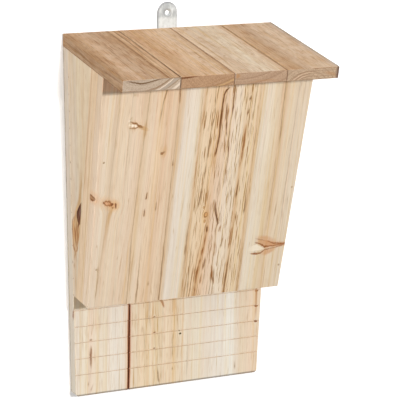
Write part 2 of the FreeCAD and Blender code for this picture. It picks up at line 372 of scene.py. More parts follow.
pineLook = {
    "end": (0.80, 0.95),   # how squarely a face cuts the grain
    "flank": (0.5, 0.9),
    "outer": (1.6, 0.4),   # millimetres below the outer face
    "skin": (10, 2),
    "seedStride": 17.3,
    "unevenYears": 2.2,
    "lateSharp": 2.5,      # how sharply the late wood ends
    "hairlines": 9,
    "drift": 3.0,          # millimetres that the tones wander
    "push": (1.8, 2.6, 0.75),  # how wide, how tall and how hard a knot bends the grain
    "ragged": 0.7,
    "knotEdge": (1.2, 0.85),
    "unsteady": 1.6,       # millimetres that a streak wanders
    "bitten": 0.45,        # how much of a streak is broken up
    "widest": 10,          # millimetres, the widest half of a streak
    "haloWide": 1.6,
    "pores": (0.3, 0.7),
    "relief": {"fibre": 0.5, "threads": 0.4, "late": -0.4, "hair": -0.4},
    "crackDeep": 1.6,
    "roughness": 0.70,
    "bump": (0.3, 0.0003),
    "gloss": 0.12,
}


def boardSpace(finish, lie):
    # across and along the grain, depth into the board, how far a face is an end, and how far a flank
    place = {"Vector": finish.add("TexCoord", {}, {}, "Object"), "Location": boardPlace["shift"]}
    place["Scale"] = (1000, 1000, 1000)
    x, y, z = finish.split(finish.add("Mapping", {}, place))
    faceX, faceY, faceZ = finish.facing()
    if lie == "back":
        return x, z, y, abs(faceZ), abs(faceX)
    if lie == "roof":
        slope = math.radians(boardPlace["roofSlope"])
        along = y * math.cos(slope) + z * math.sin(slope)
        depth = boardPlace["roofLift"] - z * math.cos(slope) + y * math.sin(slope)
        return x, along, depth, abs(faceY * math.cos(slope) + faceZ * math.sin(slope)), abs(faceX)
    inward = z * boardPlace["spread"] + boardPlace["footHalf"] - abs(x)
    if lie == "side":
        return y, z, inward, abs(faceZ), abs(faceY)
    lean = math.radians(boardPlace["frontLean"])
    fallBack = (z - boardPlace["frontFoot"]) * math.tan(lean) + boardPlace["frontDepth"]
    end = abs(faceZ * math.cos(lean) - faceY * math.sin(lean))
    if lie == "strip":
        return y + fallBack, z, inward, end, abs(faceY)
    return x, z, y + fallBack, end, abs(faceX)


def grain(finish, across, along, depth, wood):
    # rings round the pith, hairlines, golden and rosy threads, fibres, clouds and short flecks
    seed = wood["seed"] * pineLook["seedStride"]

    def cell(name):
        fine, long, seedAcross, seedDepth, detail, rough = grainCells[name]
        x = across * fine + seed * seedAcross
        y = depth * fine + seed * seedDepth
        return finish.noise(x, y, along * long, detail, rough)

    def mark(name, value):
        return finish.step(value, *markLimits[name])

    fromPith = across - wood["pith"][0] + (cell("sway") - 0.5) * wood["sway"]
    underPith = depth - wood["pith"][1] + along * wood["climb"]
    away = (fromPith * fromPith + underPith * underPith) ** 0.5
    uneven = finish.noise(away * 0.09 + seed, 0, along * 0.001, 1)
    ring = finish.sum("FRACT", away / wood["pitch"] + uneven * pineLook["unevenYears"])
    years = mark("years", finish.noise(away * 0.16 + seed, 4, 0, 1))
    hair = mark("hair", abs(finish.sum("FRACT", cell("figure") * pineLook["hairlines"]) - 0.5))
    warm = cell("warm")
    return {
        "late": ring ** pineLook["lateSharp"] * mark("late", ring) * years,
        "hair": hair * mark("fade", cell("fade")),
        "gold": mark("gold", warm),
        "rose": mark("rose", warm),
        "dash": finish.step(cell("dash"), *wood["dashLimits"]),
        **{name: mark(name, cell(name)) for name in ("cloud", "blotch", "fleck")},
        **{name: cell(name) for name in ("threads", "fibre", "mottle")},
    }


def strokePoint(at, x, half=0.3, strength=0):
    return at, x, half, strength


def stroke(finish, across, along, points, soft):
    # a streak and its halo, from a table of where it runs, how wide it is and how strong
    widest = pineLook["widest"]
    points = [strokePoint(*point) for point in points]
    base = min(point[1] for point in points)
    reach = max(max(point[1] for point in points) - base, 0.01)
    stops = [(at, ((x - base) / reach, half / widest, strength, 1)) for at, x, half, strength in points]
    centre, half, strength = finish.split(finish.bands(along, stops, "LINEAR"))
    offset = abs(across - base - centre * reach) - half * widest
    core = finish.step(offset, soft, -soft * 0.6)
    halo = finish.step(offset, soft + pineLook["haloWide"], 0)
    return core * strength, halo * strength


usualKnot = {
    "turn": 0,             # degrees
    "slant": 0,            # how far a branch runs across per millimetre of depth
    "ragged": 1,
    "halo": 3.2,           # how far its halo reaches, in knots
    "glow": 0.8,
    "warm": (0.94, 0.78, 0.56, 1),
    "strength": 1,
}


def knotAt(x, z, wide, tall, heart=None, **more):
    # in millimetres on the board's face; without a heart there is only its halo
    return {"at": (x, z), "size": (wide, tall), "heart": heart, **usualKnot, **more}


def knotDistance(finish, across, along, depth, knot, rough):
    # 0 at the heart and 1 at the rim, which is ragged; a branch may slant through the board
    (x, z), (wide, tall), turn = knot["at"], knot["size"], math.radians(knot["turn"])
    dx = across - depth * knot["slant"] - x
    dz = along - z
    u = (dx * math.cos(turn) + dz * math.sin(turn)) / wide
    v = (dz * math.cos(turn) - dx * math.sin(turn)) / tall
    return (u * u + v * v) ** 0.5 + rough * knot["ragged"]


def pushedAside(finish, across, along, knots):
    # the grain runs round each knot
    wider, taller, force = pineLook["push"]
    for knot in knots:
        (x, z), (wide, tall) = knot["at"], knot["size"]
        u = (across - x) / (wide * wider)
        v = (along - z) / (tall * taller)
        near = 1 / (1 + (u * u + v * v) ** 2)
        across = across - (across - x) * near * force
    return across


def paintKnots(finish, colour, across, along, depth, face, wood):
    # a warm halo, a ringed heart and a dark ragged rim
    rough = finish.noise(across * 0.5, along * 0.5, wood["seed"] * 1.7, 3, 0.65) - 0.5
    rough = rough * pineLook["ragged"]
    for knot in wood["knots"]:
        far = knotDistance(finish, across, along, depth, knot, rough)
        halo = finish.step(far, knot["halo"], 0.8) * face
        colour = finish.tint(halo * knot["glow"], colour, knot["warm"])
        if knot["heart"]:
            heart = finish.bands(far, inked(knot["heart"]))
            inner = finish.step(far, *pineLook["knotEdge"])
            colour = finish.mix(inner * knot["strength"] * face, colour, heart)
    return colour


def paintStreaks(finish, colour, across, along, depth, face, flank, end, wood):
    # streaks along and across the grain, drawn with a slightly unsteady hand
    unsteady = pineLook["unsteady"]
    shake = finish.noise(across * 0.5, along * 0.10, wood["seed"] * 3.1, 2) - 0.5
    steady = across + shake * unsteady
    wobble = along + (finish.noise(across * 0.3, along * 0.3, wood["seed"], 2) - 0.5) * unsteady
    bite = finish.step(finish.noise(across * 1.4, along * 0.13, wood["seed"] + 5, 2), 0.25, 0.55)
    whole = bite * pineLook["bitten"] + (1 - pineLook["bitten"])
    skin = face * finish.step(depth, *pineLook["skin"])
    ways = {
        # kind: across, along, softness, halo and where it shows
        "thin": (steady, along, 0.6, 0.30, face),
        "crack": (steady, along, 0.6, 0.55, face),
        "wide": (steady, along, 1.6, 0, face),
        "cross": (wobble, across, 0.6, 0, skin),
        "smudge": (wobble, across, 2.4, 0, skin),
        "branch": (wobble, across - depth * 0.5, 0.6, 0, face),
        "edge": (depth + shake * unsteady, along, 0.6, 0, flank),
        "ring": (depth + shake, across, 0.5, 0, end),
    }
    cracks = None
    rings = []
    for kind, tone, *streaks in wood["streaks"]:
        sideways, lengthways, soft, glow, shown = ways[kind]
        cores, halos = zip(*[stroke(finish, sideways, lengthways, points, soft) for points in streaks])
        drawn = finish.most(cores) * whole * shown
        if kind == "ring":
            rings.append((drawn, tone))
            continue
        if glow:
            colour = finish.tint(finish.most(halos) * glow, colour, paintedLightAndWoodTints["halo"])
        colour = finish.mix(drawn, colour, ink(*tone))
        if kind == "crack":
            cracks = drawn
    return colour, cracks, rings


def endGrain(finish, mark, across, along, depth, rings, wood):
    # the rings show plainly, with the pores between them
    pores = finish.noise(across * 1.2, depth * 1.2, along * 0.02 + 1, 3, 0.7)
    dark, light = [ink(*tone) for tone in wood["end"]]
    cut = finish.mix(finish.step(pores, *pineLook["pores"]), dark, light)
    cut = finish.tint(mark["late"] * wood["endLate"], cut, paintedLightAndWoodTints["endRing"])
    for drawn, tone in rings:
        cut = finish.mix(drawn, cut, ink(*tone))
    # a painted shade line along the lower edge of the ends
    if "sill" in wood:
        cut = finish.tint(finish.step(depth, *wood["sill"]), cut, paintedLightAndWoodTints["sill"])
    return cut


def pineFinish(name, wood):
    finish = newFinish(name)
    across, along, depth, end, flank = boardSpace(finish, wood["lie"])
    mark = grain(finish, pushedAside(finish, across, along, wood["knots"]), along, depth, wood)
    end = finish.step(end, *pineLook["end"])
    flank = finish.step(flank, *pineLook["flank"])
    face = 1 - end

    # the planed faces
    drift = (finish.noise(along * 0.012 + wood["seed"], 0, 2, 1) - 0.5) * pineLook["drift"]
    colour = finish.bands(across + drift, inked(wood["tones"]))
    colour = finish.tint(1, colour, wood["wash"])
    for kind, tone in markTones.items():
        colour = finish.tint(mark[kind] * wood[kind], colour, tone)
    dashes = finish.bands(across, [(at, (amount, amount, amount, 1)) for at, amount in wood["dash"]])
    colour = finish.tint(mark["dash"] * finish.split(dashes)[0], colour, wood["dashTone"])
    # painted light and shade in bands: a warm painted bounce light at the top of the front staves under the
    # roof, a painted shade line along the back planks' foot, and painted light lifting the box's shadow on
    # the back planks' front face
    outer = finish.step(depth, *pineLook["outer"])
    for kind, shown in (("eaves", outer), ("foot", 1), ("inside", outer)):
        if kind in wood:
            colour = finish.tint(finish.step(along, *wood[kind]) * shown, colour, paintedLightAndWoodTints[kind])
    # the edge faces' tint: painted light, paler on the front staves and paler and cooler on the roof
    # planks; on the back planks a little darker and cooler
    if "flank" in wood:
        colour = finish.tint(flank, colour, wood["flank"])
    weave = ("fibre", "threads", "mottle")
    light = sum(mark[kind] * wood[kind] for kind in weave)
    colour = finish.brighten(colour, light + (wood["level"] - sum(wood[kind] for kind in weave) / 2))

    colour = paintKnots(finish, colour, across, along, depth, face, wood)
    colour, cracks, rings = paintStreaks(finish, colour, across, along, depth, face, flank, end, wood)
    colour = finish.mix(end, colour, endGrain(finish, mark, across, along, depth, rings, wood))

    height = sum(mark[kind] * rise for kind, rise in pineLook["relief"].items())
    if cracks:
        height = height - cracks * pineLook["crackDeep"]
    roughness = pineLook["roughness"] - mark["late"] * 0.12 + (mark["fibre"] - 0.5) * 0.2
    gloss = {"Specular IOR Level": pineLook["gloss"]}
    return finish.cover(colour, roughness, height, pineLook["bump"], gloss)


# what the boards are painted with; a knot's heart is (place, red, green, blue), 0 at its middle

darkKnot = [(0, 92, 48, 24), (0.35, 140, 84, 46), (0.6, 112, 62, 32), (0.8, 168, 108, 64), (1, 120, 70, 38)]
tarKnot = [(0, 70, 62, 40), (1, 110, 98, 70)]
softKnot = [(0, 226, 178, 138), (0.38, 212, 158, 116), (0.64, 154, 98, 56), (0.86, 156, 100, 58),
            (1, 190, 138, 94)]
ringKnot = [(0, 196, 140, 86), (0.4, 222, 174, 120), (0.75, 154, 106, 62), (1, 190, 146, 98)]
pinkish = (0.98, 0.83, 0.70, 1)
crackBrown = (104, 62, 28)
streakBrown = (124, 86, 46)
goldBrown = (196, 150, 92)
honeyBrown = (200, 152, 98)

# boards: tones are (across, red, green, blue), and streaks are a kind, a colour and strokes, whose points
# are (along, across, half width, strength); a half width of 0.3 and a strength of 0 may be left out

frontStaves = {
    "front_stave_1": {
        "seed": 1, "pith": (-190, 60), "pitch": 4.6, "sway": 9, "climb": 0.02,
        "tones": [(-121, 214, 188, 158), (-114, 226, 201, 173), (-107, 229, 209, 184),
                  (-101, 221, 196, 167), (-94, 229, 206, 178), (-84, 227, 204, 176), (-76, 228, 203, 176),
                  (-70, 223, 195, 163)],
        "streaks": [
            ("thin", streakBrown,
             [(116, -104), (122, -103.5, 0.3, 0.5), (140, -103, 0.4, 0.4), (147, -104, 0.4, 0.7),
              (153, -104)],
             [(150, -102, 0.2), (190, -100, 0.3, 0.25), (250, -100, 0.3, 0.2), (334, -98, 0.2, 0.2)],
             [(200, -84, 0.2), (260, -84.5, 0.2, 0.35), (330, -85, 0.2, 0.2)]),
            ("wide", goldBrown,
             [(112, -105, 1), (140, -103, 1, 0.15), (180, -99.5, 1.2, 0.25), (198, -98.4, 1.6, 0.5),
              (210, -97, 1.8, 0.7), (217, -96, 0.8)]),
            ("cross", (204, 160, 104),
             [(-78, 300.6, 0.8), (-74, 299.4, 1.8, 0.7), (-70, 298, 2.2, 0.7), (-69, 298, 1)]),
            # near-white strokes on the resin knot: painted highlights, its glints
            ("cross", (254, 240, 222),
             [(-87, 301.8, 0.4), (-85.6, 302.4, 1.5, 0.8), (-84.2, 301.8, 0.5, 0.3), (-82, 301.4, 1.5, 1),
              (-80, 301, 0.5, 0.6), (-78.2, 300.7, 1.2, 1), (-76.8, 300.4, 0.4)],
             [(-87.6, 306.4), (-86.2, 306.4, 0.9, 0.7), (-84.8, 306.6)]),
            ("cross", (150, 104, 62),
             [(-86, 306), (-84.5, 305.5, 0.6, 0.7), (-81.3, 303.9, 0.9, 1), (-77.7, 303.3, 0.9, 1),
              (-75.3, 300.6, 1.2, 1), (-72.2, 299.5, 1.2, 0.9), (-70, 298.4, 0.6, 0.5)],
             [(-86.4, 299), (-84.6, 298.7, 0.5, 0.6), (-78.8, 298.5, 0.7, 0.8), (-76.1, 299.4, 0.6, 0.9),
              (-74, 300, 0.4)]),
            ("branch", (158, 104, 56),
             [(-122.4, 227, 1), (-121.4, 226.6, 2, 0.9), (-120, 226.3, 2.7, 0.95), (-118, 225.3, 2.2, 0.95),
              (-115.6, 226, 1.1, 0.9), (-114.2, 226.3, 0.4)]),
            ("branch", (132, 82, 38),
             [(-122, 228.8, 0.6), (-120.6, 228.6, 1, 0.95), (-118.6, 227.6, 0.9, 0.9),
              (-116.6, 227.1, 0.8, 0.9), (-114.6, 226.2, 0.5)],
             [(-121.6, 224.2, 0.6), (-119.8, 223.7, 0.9, 0.9), (-117.8, 223.4, 0.9, 0.9),
              (-115.4, 225.2, 0.6, 0.7), (-114.2, 226, 0.4)]),
            ("cross", (110, 58, 26),
             [(-97.4, 218.8, 0.5), (-96.4, 218.8, 1.3, 0.95), (-95.2, 218.9, 1.2, 0.9), (-93.8, 219.4)],
             [(-95.4, 215, 0.5), (-94.8, 215.2, 1, 0.6), (-94, 215.4, 0.5)],
             [(-106.8, 221.6, 0.4), (-105.6, 221.2, 0.9, 0.5), (-103.4, 219.8, 0.6, 0.3), (-102, 219)],
             [(-92.6, 218.6, 0.6), (-91.9, 217.8, 2, 0.9), (-91, 216.6, 2.6, 0.95), (-90.2, 214.6, 0.8)]),
        ],
        "knots": [
            knotAt(-100.8, 220.4, 5.6, 3, softKnot, turn=-18, ragged=2, warm=pinkish, strength=0.85),
            knotAt(-93.4, 216.8, 3.1, 2.9, softKnot, turn=-22, ragged=2, halo=3, strength=0.4),
            knotAt(-118, 227, 3.6, 3.5, turn=-30, slant=0.5, halo=2.8, warm=pinkish),
            knotAt(-80, 301.5, 4.4, 3, halo=2.4, glow=0.45),
        ],
    },
    "front_stave_2": {
        "seed": 2, "pith": (60, 90), "pitch": 4.2, "sway": 8, "climb": -0.02,
        "tones": [(-70, 222, 194, 162), (-66, 223, 196, 164), (-61, 229, 205, 177), (-51, 229, 200, 167),
                  (-45, 223, 192, 160), (-38, 229, 203, 173), (-31, 218, 189, 157), (-27, 221, 197, 168)],
        "streaks": [
            ("crack", crackBrown,
             [(220, -58.2, 0.4), (222, -58, 0.7, 0.9), (227, -57.6, 0.4, 0.8), (229.5, -57.5)],
             [(201, -58.4), (203.5, -58.3, 0.7, 0.9), (208, -58.6, 0.5, 0.8), (211.5, -58.6)],
             [(254, -32.2), (256, -32.2, 0.5, 0.8), (262, -32.6, 0.4)],
             [(320, -32.6), (324, -32.6, 0.4, 0.7), (334, -33.4, 0.4, 0.7), (340, -33.4)],
             [(324, -50.5, 0.2), (328, -49.6, 0.5, 0.7), (336, -48, 0.5, 0.7), (340, -48)]),
            ("wide", goldBrown,
             [(262, -44.8, 0.8), (269, -44, 2.2, 0.4), (274, -42.8, 1.6, 0.35), (283, -43.2, 1)],
             [(282, -68.6, 0.6), (291, -67.6, 1.6, 0.55), (300, -67.6, 1.4, 0.5), (308, -68, 0.6)]),
            ("cross", (204, 160, 104),
             [(-71, 298, 1), (-70, 298, 2, 0.7), (-66, 296.4, 1.6, 0.5), (-62, 295, 0.6)]),
            ("cross", (146, 100, 60),
             [(-48.4, 269.4, 0.4), (-47, 269.4, 1.2, 0.9), (-45, 269.4, 1.2, 0.9), (-43.4, 270.4, 0.8, 0.6),
              (-41.6, 271.8, 0.4)]),
            ("thin", streakBrown,
             [(104, -67.5, 0.5, 0.45), (150, -68.5, 0.5, 0.45), (180, -70.2, 0.6, 0.4),
              (240, -69, 0.4, 0.3), (336, -66.2, 0.4, 0.35), (350, -66)],
             [(106, -57, 0.5, 0.5), (120, -57, 0.6, 0.7), (150, -57.5, 0.4, 0.5), (175, -58)],
             [(296, -52.5), (312, -51.5, 0.6, 0.5), (326, -50.4, 0.5, 0.5), (330, -50)],
             [(206, -46.2), (209, -46, 0.4, 0.6), (215, -46, 0.4, 0.6), (218, -46)],
             [(106, -30.6, 0.5, 0.7), (150, -31.4, 0.5, 0.7), (185, -31.6, 0.4, 0.5), (260, -32, 0.3, 0.3),
              (340, -33, 0.3, 0.3)],
             [(123, -45, 0.5), (126, -45, 0.9, 0.5), (130, -45, 0.5)]),
        ],
        "knots": [
            knotAt(-44.5, 271, 2.4, 2.8, halo=3, glow=0.3),
        ],
    },
    "front_stave_3": {
        "seed": 3, "pith": (120, 70), "pitch": 3.6, "sway": 12, "climb": 0.03, "dashLimits": (0.552, 0.62),
        "dashTone": (0.50, 0.34, 0.18, 1),
        "tones": [(-27, 222, 198, 170), (-24.5, 229, 213, 194), (-9.5, 230, 214, 192), (-6, 223, 198, 166),
                  (1, 230, 204, 171), (9, 229, 200, 164), (15, 225, 193, 159), (23, 228, 201, 173),
                  (34, 232, 213, 189), (41, 231, 211, 185), (45, 225, 199, 166), (55, 230, 207, 175),
                  (63, 221, 194, 160)],
        "dash": [(-27, 0.3), (-24, 0.05), (-10, 0.05), (-6, 0.7), (0, 1), (52, 1), (63, 0.6)],
        "streaks": [
            ("wide", honeyBrown,
             [(104, 10, 2, 0.5), (130, 11.5, 2.2, 0.5), (160, 14, 1.8, 0.5), (182, 16.5, 1.4, 0.5),
              (206, 14, 1.4, 0.5), (226, 16, 1.2)],
             [(104, 45, 1.8, 0.5), (150, 46, 1.2, 0.35), (215, 45.5, 1.4, 0.45), (250, 46, 1.2, 0.45),
              (292, 46.5, 1.2, 0.5), (300, 46.5, 0.6)],
             [(240, 16, 0.8), (255, 14.5, 2, 0.5), (270, 15.5, 1.4, 0.4), (290, 16, 0.8)],
             [(104, 61, 1, 0.4), (200, 60, 1.2, 0.4), (300, 59, 1, 0.3), (340, 58, 0.8, 0.2)],
             [(104, -4, 1, 0.4), (180, -4, 1, 0.5), (260, -5, 0.8, 0.4), (336, -3, 0.8, 0.4)]),
            ("thin", streakBrown,
             [(204, 2.2, 0.4), (210, 3, 0.6, 0.8), (226, 4.6, 0.5, 0.8), (236, 5.4, 0.4, 0.3),
              (244, 5.8, 0.5, 0.8), (256, 6.2, 0.3, 0.3), (264, 6.6, 0.5, 0.7), (278, 7, 0.6, 0.8),
              (288, 7.6, 0.3, 0.2), (297, 8, 0.6, 0.8), (309, 9.4, 0.4, 0.7), (315, 8.6, 0.3, 0.3),
              (321, 7.8, 0.6, 0.8), (330, 7.2, 0.3, 0.4), (338, 6.6)],
             [(104, 1.8, 0.4, 0.5), (130, 1.2, 0.4, 0.6), (150, 1, 0.3, 0.4), (176, 0.2)],
             [(118, -5.2), (150, -5.4, 0.4, 0.4), (176, -6, 0.5, 0.6), (196, -5.4)],
             [(104, 45, 0.8, 0.7), (124, 45.6, 0.9, 0.9), (140, 46, 0.6, 0.7), (152, 46.4, 0.3, 0.2),
              (166, 46.8, 0.4, 0.6), (184, 46.6)],
             [(212, 45.2, 0.4), (217, 45.6, 0.8, 0.9), (228, 46.2, 0.6, 0.8), (238, 46.4)],
             [(186, 48.4), (192, 48.4, 0.5, 0.6), (198, 48.6)],
             [(192, 57.4, 0.4), (198, 57.6, 0.9, 0.7), (206, 58.2, 0.7, 0.6), (218, 58.8)],
             [(157, 35), (161, 35.4, 0.6, 0.8), (168, 36.4, 0.4, 0.7), (172, 36.8)],
             [(116, 31.6, 0.4), (121, 31.4, 0.6, 0.8), (130, 30.6, 0.5, 0.7), (138, 30.2)],
             [(104, 27.6, 0.3, 0.5), (124, 28.4, 0.4, 0.6), (146, 27.4, 0.3, 0.5), (168, 26.4)],
             [(222, 35), (230, 35.6, 0.4, 0.5), (240, 36.2)],
             [(210, 23.8), (224, 22.6, 0.4, 0.5), (238, 23.8, 0.4, 0.4), (262, 26.4)],
             [(120, 53), (150, 52.4, 0.3, 0.5), (178, 52.2)],
             [(255, 58.8), (275, 59.4, 0.5, 0.4), (300, 59.8)],
             [(104, 60.8, 0.4, 0.4), (140, 61.4, 0.4, 0.5), (170, 60.4)],
             [(318, 36), (326, 36.6, 0.5, 0.5), (334, 37.4)]),
            ("crack", (138, 84, 40),
             [(104, 10.2, 0.5, 0.4), (113, 10.6, 0.6, 0.8), (119, 10.4, 0.3, 0.4), (126, 10.2, 0.7, 0.9),
              (134.5, 10.7, 0.8, 0.95), (141, 11.8, 0.4, 0.6), (146, 12.6, 0.6, 0.8), (151, 13.4, 0.4, 0.5),
              (157, 14, 0.8, 0.95), (162, 15, 0.4, 0.5), (168, 15.5, 0.7, 0.8), (176, 15.9, 0.4, 0.4),
              (184, 16)],
             [(104, 4.6, 0.3, 0.5), (114, 4.8, 0.5, 0.7), (124, 5, 0.3, 0.4), (134, 5.6, 0.5, 0.6),
              (146, 6.4)],
             [(118, 7.6), (126, 7.8, 0.4, 0.6), (138, 8.2, 0.3, 0.4), (152, 9.4, 0.5, 0.6), (166, 10.4)],
             [(106, -1.6, 0.3, 0.4), (116, -1.4, 0.5, 0.6), (130, -1.8)],
             [(156, 44.4), (161, 44.6, 0.6, 0.8), (169, 44.9, 0.6, 0.8), (177.5, 45.3, 0.4, 0.6),
              (181, 45.6)],
             [(148, 28.8), (152, 28.6, 0.4, 0.6), (163, 28, 0.5, 0.7), (168, 27.8)],
             [(118, 15.8), (122, 15.9, 0.5, 0.7), (129, 16.3, 0.4, 0.5), (133, 16.4)],
             [(176, 30.4), (178, 30.6, 0.4, 0.7), (182, 31.4, 0.4, 0.7), (185, 32.4)],
             [(164, 52), (168, 52, 0.4, 0.6), (174, 52.1, 0.4, 0.5), (178, 52.2)],
             [(116, 32.4), (120, 31.4, 0.4, 0.6), (127, 28.9, 0.5, 0.8), (138, 27.8, 0.4, 0.6),
              (142, 27.8)],
             [(188, 48.8), (191, 48.7, 0.4, 0.6), (196, 48.4)],
             [(250, 46.8), (258, 46.6, 0.6, 0.8), (270, 46.6, 0.9, 0.9), (284, 46.8, 0.6, 0.8),
              (294, 47.4)]),
            ("crack", crackBrown,
             [(260, 14.8, 0.4), (264, 15.6, 0.8, 0.95), (272, 16.6, 0.7, 0.95), (282, 17.2, 0.7, 0.95),
              (290, 17, 0.7, 0.95), (304, 17, 0.7, 0.95), (318, 16.8, 0.7, 0.95), (327, 17, 0.7, 0.95),
              (331, 18.6, 0.9, 0.95), (333.5, 20.6, 0.9, 0.95), (335.5, 22.6, 0.5)],
             [(280, 26.2), (286, 25, 0.5, 0.8), (294, 23.6, 0.6, 0.9), (302, 23, 0.4, 0.8),
              (310, 22.6, 0.6, 0.9), (319, 22)],
             [(226, 29.2), (232, 29.6, 0.4, 0.4), (244, 30.2, 0.3, 0.1), (260, 30.6, 0.4, 0.6),
              (268, 29.6, 0.5, 0.9), (276, 28.6, 0.5, 0.9), (288, 28.2, 0.3, 0.6), (298, 28.4, 0.3, 0.5),
              (309, 29, 0.6, 0.8), (313, 29, 0.8, 0.9), (318, 28.6, 0.4, 0.8), (338, 28.8, 0.5, 0.85)],
             [(318, 47.4, 0.4), (321, 47.6, 0.8, 0.8), (325, 48.2, 0.5)],
             [(303, 46.6, 0.4), (306, 47.4, 0.8, 0.8), (311, 48.4, 0.5)],
             [(158, 27.4), (170, 27.2, 0.4, 0.4), (178, 26.7, 0.5, 0.6), (183.5, 27.2, 0.5, 0.7),
              (186.5, 27.9, 0.7, 0.9), (190, 27.1, 0.9, 0.95), (197, 24.8, 1.2, 0.95),
              (204.5, 22.6, 1, 0.8), (210, 21.8, 0.5, 0.5), (215, 21.6)],
             [(134, 17.4, 0.4), (139, 17.8, 0.8, 0.7), (146, 18.4, 0.6, 0.7), (151, 18.4)],
             [(176.5, 16.2, 0.4), (179, 16.2, 0.9, 0.9), (183, 16, 0.9, 0.9), (186.5, 15.8)]),
        ],
        "knots": [
            knotAt(12.9, 197.3, 2.4, 3.2, ringKnot, halo=2.4, glow=0.5),
            knotAt(9.5, 205.7, 0.9, 1.4, ringKnot, halo=2, glow=0.4, strength=0.8),
            knotAt(12.4, 190.3, 1.2, 1.8, ringKnot, halo=2, glow=0.4, strength=0.9),
        ],
    },
    "front_stave_4": {
        "seed": 4, "pith": (230, 60), "pitch": 5.0, "sway": 8, "climb": -0.02,
        "tones": [(63, 226, 207, 182), (67, 229, 213, 191), (74, 230, 213, 188), (80, 226, 205, 176),
                  (88.5, 219, 191, 157), (95, 225, 203, 174), (104, 223, 203, 177), (113, 225, 206, 182),
                  (121, 222, 198, 170)],
        "streaks": [
            ("thin", streakBrown,
             [(262, 88.6), (280, 88.8, 0.5, 0.6), (300, 88.2, 0.4, 0.5), (340, 87.2, 0.4, 0.5)],
             [(168, 86.6, 0.4), (200, 87.6, 0.5, 0.4), (240, 88, 0.4, 0.3), (262, 88)],
             [(150, 103, 0.2), (200, 103.4, 0.3, 0.4), (280, 103.6, 0.3, 0.3), (336, 104, 0.2, 0.3)],
             [(186, 95.4, 0.2), (196, 95.4, 0.4, 0.4), (206, 95.8, 0.2)],
             [(190, 108.2, 0.2), (206, 108.4, 0.4, 0.4), (214, 108.6, 0.2)]),
            ("smudge", (204, 146, 98),
             [(75, 162.4, 0.8), (82, 160.6, 2.6, 0.7), (90, 157.4, 4.2, 0.85), (100, 155.6, 2.8, 0.85),
              (108, 155, 1.6, 0.85), (115, 155, 1.2, 0.8)],
             [(83, 147, 1), (90, 147.6, 2.8, 0.7), (97, 149.4, 2.2, 0.7), (105, 153, 1)],
             [(74, 165.6, 1.2), (82, 164.8, 1.6, 0.6), (90, 163.6, 1.8, 0.6), (98, 160.4, 1.4, 0.4),
              (106, 158, 1)]),
            ("cross", (242, 228, 206),
             [(67.5, 152.8, 1.6), (72, 153.2, 2.8, 0.6), (75, 153.6, 3.2, 0.9), (78, 154, 3.2, 0.95),
              (82, 153, 2.4, 0.9), (85.5, 152, 1.2, 0.8), (88, 151.6, 0.5)]),
            ("cross", (148, 90, 48),
             [(75, 160.2, 0.4), (77, 159.6, 0.6, 0.8), (82.2, 157.7, 0.7, 0.9), (86, 155.4, 0.9, 0.95),
              (87.9, 154, 1.1, 1), (92.7, 154.2, 0.6, 0.9), (98.8, 154.1, 0.5, 0.8), (105, 154.7, 0.5, 0.8),
              (114, 155.2, 0.5, 0.9)],
             [(89, 160.6), (92, 159.6, 0.4, 0.6), (98.4, 156.9, 0.7, 0.8), (102.5, 156.5, 0.7, 0.9),
              (108.7, 155.6, 0.6, 0.9), (114, 155.7, 0.4, 0.8)],
             [(75, 164.8), (78, 163.8, 0.5, 0.6), (84, 162, 0.4, 0.5), (90, 160.6)],
             [(71, 147.8, 0.4), (73.6, 147.5, 0.8, 0.9), (79.8, 146.7, 0.9, 0.95), (84.2, 147.2, 0.8, 0.9),
              (87.4, 149.5, 0.6, 0.9), (89.2, 150.9, 0.6, 0.9), (94.1, 151.2, 0.4, 0.8),
              (101.1, 151.9, 0.4, 0.7), (106.9, 153.2, 0.4, 0.8), (114, 155, 0.3, 0.8)]),
        ],
    },
}

